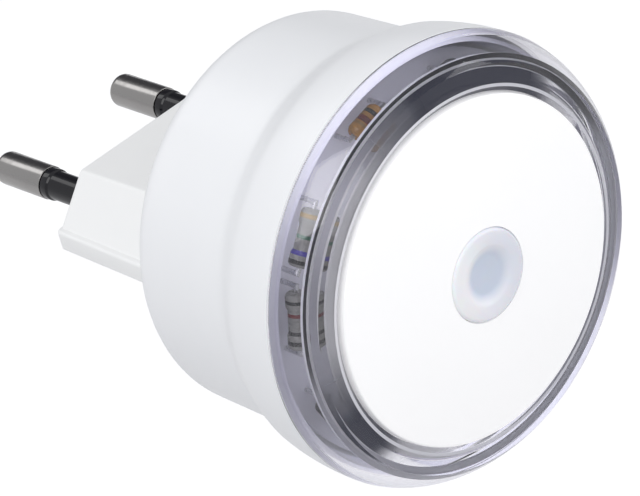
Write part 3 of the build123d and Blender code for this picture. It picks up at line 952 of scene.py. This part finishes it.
# Corners of the glass diode, finishes as (low, high, rough), and painted rings
ZENER = (
    (0, -2.05, 0), (0.75, -2.05, 0.2), (1.05, -1.6, 0.3),
    (1.05, 1.6, 0.3), (0.75, 2.05, 0.2), (0, 2.05, 0),
)
COAT = ((0.24, 0.237, 0.225), (0.31, 0.305, 0.285), (0.22, 0.36))
GLASS = ((0.5, 0.2, 0.03), (0.75, 0.42, 0.08), (0.05, 0.15))
BLACK, GREEN, VIOLET = (0.01, 0.01, 0.012), (0.015, 0.13, 0.07), (0.05, 0.03, 0.34)
DARK_RED, ORANGE, GOLD = (0.16, 0.008, 0.012), (0.5, 0.12, 0.02), (0.42, 0.28, 0.08)
ZENER_BANDS = ((-0.9, 0.5, BLACK), (0.2, 0.7, DARK_RED), (0.9, 0.35, GOLD))
RESISTOR_BANDS = {
    "series_resistor": (
        (-2.35, 0.5, GOLD), (-0.1, 0.42, GREEN), (1.6, 0.5, VIOLET), (2.6, 0.45, BLACK),
    ),
    "timing_resistor": (
        (-2.3, 0.4, BLACK), (-0.8, 0.42, DARK_RED), (1.2, 0.42, BLACK), (2.3, 0.5, BLACK),
    ),
    "bias_resistor": (
        (-2.35, 0.5, GOLD), (-1.0, 0.5, ORANGE), (0.4, 0.5, VIOLET), (2.3, 0.5, ORANGE),
    ),
}
zener_glass = banded("zener_glass", *GLASS, ZENER_BANDS, IOR=1.5, Transmission_Weight=0.5)


# ---------------------------------------------------------------- assembly

shell = link(
    "drum_shell", drum_shell(), "white_shell", white_shell, rim_shade, lining_shade_and_light,
)
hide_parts("housing")
ring = link(
    "clear_ring", clear_ring(), "clear_ring",
    clear_acrylic, shadow_line, painted_shade_acrylic, edge_highlight_and_shade,
)
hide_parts("clear_bezel")
disc = link("front_disc", front_disc(), "diffuser_white", disc_white)
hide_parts("front_diffuser")
lens = link("sensor_lens", sensor_lens(), "sensor_lens", lens_frost)
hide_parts("sensor_window")
block = link("plug_block", plug_block(), "white_shell", base_white)
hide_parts("plug_base")
for side_name, side in (("left", 1), ("right", -1)):
    pin = link("nickel_pin_" + side_name, pin_mesh(), "pin_nickel", pin_metal)
    pin.location.x = side * pin_x * MM
    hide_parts("pin_" + side_name)
    sleeve = link("black_sleeve_" + side_name, sleeve_mesh(), "pin_black", pin_rubber)
    sleeve.location.x = side * pin_x * MM
    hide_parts("pin_sleeve_" + side_name)
body_of("glass_zener", "zener_diode", ZENER, zener_glass, "amber_glass")
for node, bands in RESISTOR_BANDS.items():
    coat = banded(node + "_coat", *COAT, bands)
    body_of("banded_" + node, node, dog_bone(*resistor_size), coat, "resistor_coat")


# ---------------------------------------------------------------- studio


def camera_axes():
    """Camera's right, up and back directions in the frame."""
    azimuth, elevation = radians(VIEW_AZIMUTH), radians(VIEW_ELEVATION)
    roll = radians(VIEW_ROLL)
    behind = Vector((sin(azimuth) * cos(elevation), -cos(azimuth) * cos(elevation), sin(elevation)))
    level = Vector((cos(azimuth), sin(azimuth), 0))
    upward = behind.cross(level)
    right = level * cos(roll) + upward * sin(roll)
    up = upward * cos(roll) - level * sin(roll)
    return right, up, behind


def add_camera():
    """Camera at the photograph's place."""
    right, up, behind = camera_axes()
    place = (behind * VIEW_DISTANCE - right * VIEW_SHIFT[0] - up * VIEW_SHIFT[1]) * MM
    data = bpy.data.cameras.new("camera")
    data.sensor_width = SENSOR_WIDTH
    data.sensor_fit = "HORIZONTAL"
    data.lens = FOCAL_PIXELS / IMAGE_WIDTH * SENSOR_WIDTH
    data.clip_start = CLIP_START
    camera = bpy.data.objects.new("camera", data)
    bpy.context.scene.collection.objects.link(camera)
    axes = Matrix((right, up, behind)).transposed()
    camera.matrix_world = Matrix.Translation(place) @ axes.to_4x4()
    bpy.context.scene.camera = camera


def floor_material():
    """Pale finish, white to the camera and less so in metal and glass.

    It adds to what the floor shows of the studio's light, so the shadow stays.
    """
    material, tree, shader = start_material("pale_floor")
    colour = blend_colours(tree, noise(tree, FLOOR_BLOTCH), FLOOR_LOW, FLOOR_HIGH)
    tree.links.new(colour, shader.inputs["Base Color"])
    shader.inputs["Roughness"].default_value = FLOOR_ROUGHNESS
    rays = tree.nodes.new("ShaderNodeLightPath").outputs
    mirrored = calculate(tree, "MAXIMUM", rays["Is Glossy Ray"], rays["Is Transmission Ray"])
    in_glass = calculate(tree, "MULTIPLY", mirrored, FLOOR_IN_GLASS)
    in_view = calculate(tree, "MULTIPLY", rays["Is Camera Ray"], FLOOR_IN_VIEW)
    glow = tree.nodes.new("ShaderNodeEmission")
    tree.links.new(calculate(tree, "MAXIMUM", in_view, in_glass), glow.inputs["Strength"])
    both = tree.nodes.new("ShaderNodeAddShader")
    tree.links.new(shader.outputs[0], both.inputs[0])
    tree.links.new(glow.outputs[0], both.inputs[1])
    tree.links.new(both.outputs[0], tree.nodes["Material Output"].inputs["Surface"])
    return material


def add_floor():
    """Floor below the lamp."""
    bm = bmesh.new()
    bmesh.ops.create_grid(
        bm, x_segments=FLOOR_SQUARES, y_segments=FLOOR_SQUARES, size=FLOOR_SIZE / 2,
    )
    mesh = bpy.data.meshes.new("floor")
    bm.to_mesh(mesh)
    bm.free()
    mesh.materials.append(floor_material())
    floor = bpy.data.objects.new("floor", mesh)
    bpy.context.scene.collection.objects.link(floor)
    floor.location.z = -FLOOR_DROP


def add_world():
    """Pale surroundings that fall off to a darker side behind the lamp."""
    world = bpy.data.worlds.new("studio")
    world.use_nodes = True
    tree = world.node_tree
    around = tree.nodes.new("ShaderNodeTexCoord").outputs["Generated"]
    aim = calculate(tree, "DOT_PRODUCT", around, DARK_SIDE, node_type=VECTOR_MATH)
    share = remap(tree, aim, DARK_FALL, (0, 1), smoothly=True)
    shade = blend_colours(tree, share, WORLD_PALE, WORLD_DARK)
    tree.links.new(shade, tree.nodes["Background"].inputs["Color"])
    bpy.context.scene.world = world


def add_lamp(name, place, size, power):
    """Square soft box that looks at the lamp."""
    data = bpy.data.lights.new(name, "AREA")
    data.shape = "SQUARE"
    data.size = size
    data.energy = power
    lamp = bpy.data.objects.new(name, data)
    lamp.location = place
    lamp.rotation_euler = (LAMP_AIM - Vector(place)).to_track_quat("-Z", "Y").to_euler()
    bpy.context.scene.collection.objects.link(lamp)


add_camera()
add_floor()
add_world()
for lamp in LAMPS:
    add_lamp(*lamp)

scene = bpy.context.scene
scene.view_settings.view_transform = "Standard"
